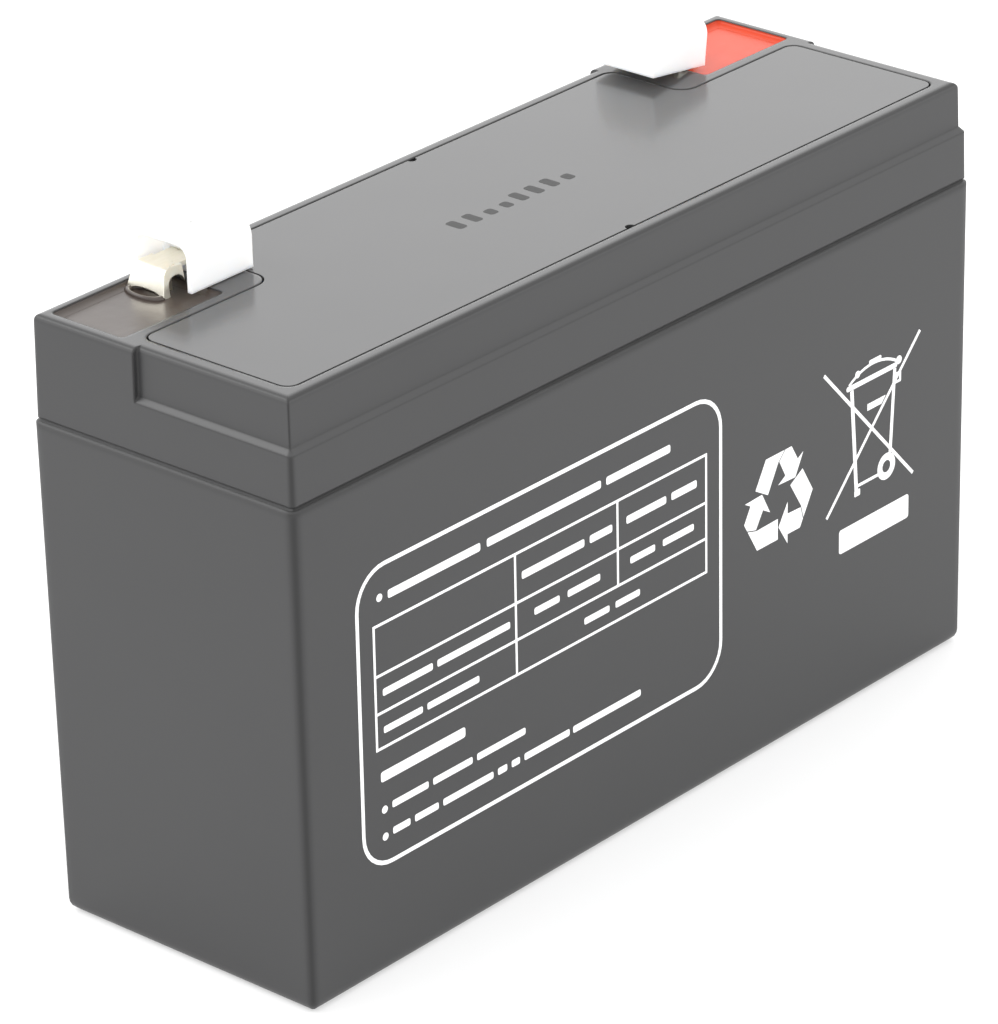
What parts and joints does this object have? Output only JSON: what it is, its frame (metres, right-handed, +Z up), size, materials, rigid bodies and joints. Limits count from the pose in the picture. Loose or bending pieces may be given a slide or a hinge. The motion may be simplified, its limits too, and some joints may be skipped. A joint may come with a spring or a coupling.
{
  "type": "sealed lead acid battery",
  "caption": "Box-shaped sealed lead acid battery with a stepped lid, flush cover plate and covered tab terminals in resin-filled corner recesses.",
  "frame": {"origin": "centre of the base, on the surface that the battery stands on", "axes": "+X along the length towards the positive terminal, +Y across the width towards the edge that carries both terminals, +Z up; the printed side faces -Y"},
  "size_m": [0.151, 0.0494, 0.1029],
  "materials": {
    "container_plastic": "fine satin moulded",
    "lid_plastic": "satin moulded",
    "cover_plastic": "gloss moulded",
    "negative_resin": "cast, gloss",
    "positive_resin": "cast, gloss",
    "terminal_metal": "tin plated, satin",
    "tab_cover_plastic": "soft, slightly translucent",
    "valve_rubber": "matte",
    "lead": "dull cast lead",
    "positive_paste": "porous cured paste on a lead grid",
    "negative_paste": "porous cured paste on a lead grid",
    "glass_mat": "absorbent glass fibre mat",
    "white_ink": "pad-printed white ink",
    "dark_ink": "stamped dark ink"
  },
  "bodies": {
    "root": {"container": "container_plastic", "lid": "lid_plastic", "cover_plate": "cover_plastic", "valve_cap_1": "valve_rubber", "valve_cap_2": "valve_rubber", "valve_cap_3": "valve_rubber", "negative_resin": "negative_resin", "positive_resin": "positive_resin", "negative_terminal": "terminal_metal", "positive_terminal": "terminal_metal", "negative_tab_cover": "tab_cover_plastic", "positive_tab_cover": "tab_cover_plastic", "negative_post": "lead", "positive_post": "lead", "partition_weld_1": "lead", "partition_weld_2": "lead", "cell_1_positive_plates": "positive_paste", "cell_1_negative_plates": "negative_paste", "cell_1_glass_mats": "glass_mat", "cell_2_positive_plates": "positive_paste", "cell_2_negative_plates": "negative_paste", "cell_2_glass_mats": "glass_mat", "cell_3_positive_plates": "positive_paste", "cell_3_negative_plates": "negative_paste", "cell_3_glass_mats": "glass_mat"}
  },
  "joints": []
}
